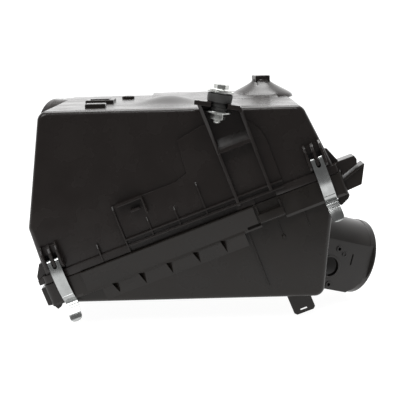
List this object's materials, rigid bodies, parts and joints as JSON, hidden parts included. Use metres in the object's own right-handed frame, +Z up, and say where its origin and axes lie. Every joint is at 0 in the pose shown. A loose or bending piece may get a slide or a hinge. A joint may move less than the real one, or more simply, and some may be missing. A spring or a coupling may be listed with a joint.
{
  "type": "air filter housing",
  "caption": "Wedge-shaped engine air filter housing: a deep cover on a sloping flange, inlet and outlet ducts, spring clips and a rubber-isolated bolt.",
  "frame": {"origin": "centre of the outlet duct's mouth", "axes": "+X to the outlet side along the front wall, +Y from the front wall to the back wall, +Z up, square to the flat top and bottom"},
  "size_m": [0.3737, 0.2471, 0.2448],
  "materials": {
    "cover_plastic": "satin black moulded plastic",
    "case_plastic": "satin charcoal moulded plastic",
    "seal_foam": "soft moulded seal",
    "filter_paper": "pleated filter paper",
    "clip_steel": "bright zinc-plated spring steel",
    "zinc": "zinc-plated steel",
    "rubber": "matt black rubber"
  },
  "bodies": {
    "case": {"lower_case": "case_plastic", "outlet_duct": "case_plastic"},
    "cover": {"upper_cover": "cover_plastic", "inlet_duct": "cover_plastic", "pivot_front_left": "cover_plastic", "pivot_front_right": "cover_plastic", "pivot_rear_left": "cover_plastic", "pivot_rear_right": "cover_plastic", "isolator_rubber": "rubber", "isolator_collar": "zinc", "mount_bolt": "zinc", "upper_washer": "zinc", "lower_washer": "zinc", "mount_nut": "zinc"},
    "filter": {"filter_seal": "seal_foam", "filter_media": "filter_paper"},
    "clip_front_left": {"clip_front_left": "clip_steel"},
    "clip_front_right": {"clip_front_right": "clip_steel"},
    "clip_rear_left": {"clip_rear_left": "clip_steel"},
    "clip_rear_right": {"clip_rear_right": "clip_steel"}
  },
  "joints": [
    {"name": "cover_lift", "type": "slide", "parent": "case", "child": "cover", "axis": [-0.342, 0, 0.9397], "range_m": [0, 0.08]},
    {"name": "filter_lift", "type": "slide", "parent": "case", "child": "filter", "axis": [-0.342, 0, 0.9397], "range_m": [0, 0.04]},
    {"name": "clip_front_left_swing", "type": "hinge", "parent": "cover", "child": "clip_front_left", "pos_m": [-0.32002, -0.117, 0.02969], "axis": [-0.9397, 0, -0.342], "range_deg": [0, 120]},
    {"name": "clip_front_right_swing", "type": "hinge", "parent": "cover", "child": "clip_front_right", "pos_m": [-0.0569, -0.117, 0.12546], "axis": [-0.9397, 0, -0.342], "range_deg": [0, 120]},
    {"name": "clip_rear_left_swing", "type": "hinge", "parent": "cover", "child": "clip_rear_left", "pos_m": [-0.32002, 0.102, 0.02969], "axis": [0.9397, 0, 0.342], "range_deg": [0, 120]},
    {"name": "clip_rear_right_swing", "type": "hinge", "parent": "cover", "child": "clip_rear_right", "pos_m": [-0.0569, 0.102, 0.12546], "axis": [0.9397, 0, 0.342], "range_deg": [0, 120]}
  ],
  "couplings": [
    {"joint": "filter_lift", "follows": "cover_lift", "ratio": 0.5},
    {"joint": "clip_front_left_swing", "follows": "cover_lift", "rad_per_m": 26.177},
    {"joint": "clip_front_right_swing", "follows": "cover_lift", "rad_per_m": 26.177},
    {"joint": "clip_rear_left_swing", "follows": "cover_lift", "rad_per_m": 26.177},
    {"joint": "clip_rear_right_swing", "follows": "cover_lift", "rad_per_m": 26.177}
  ]
}
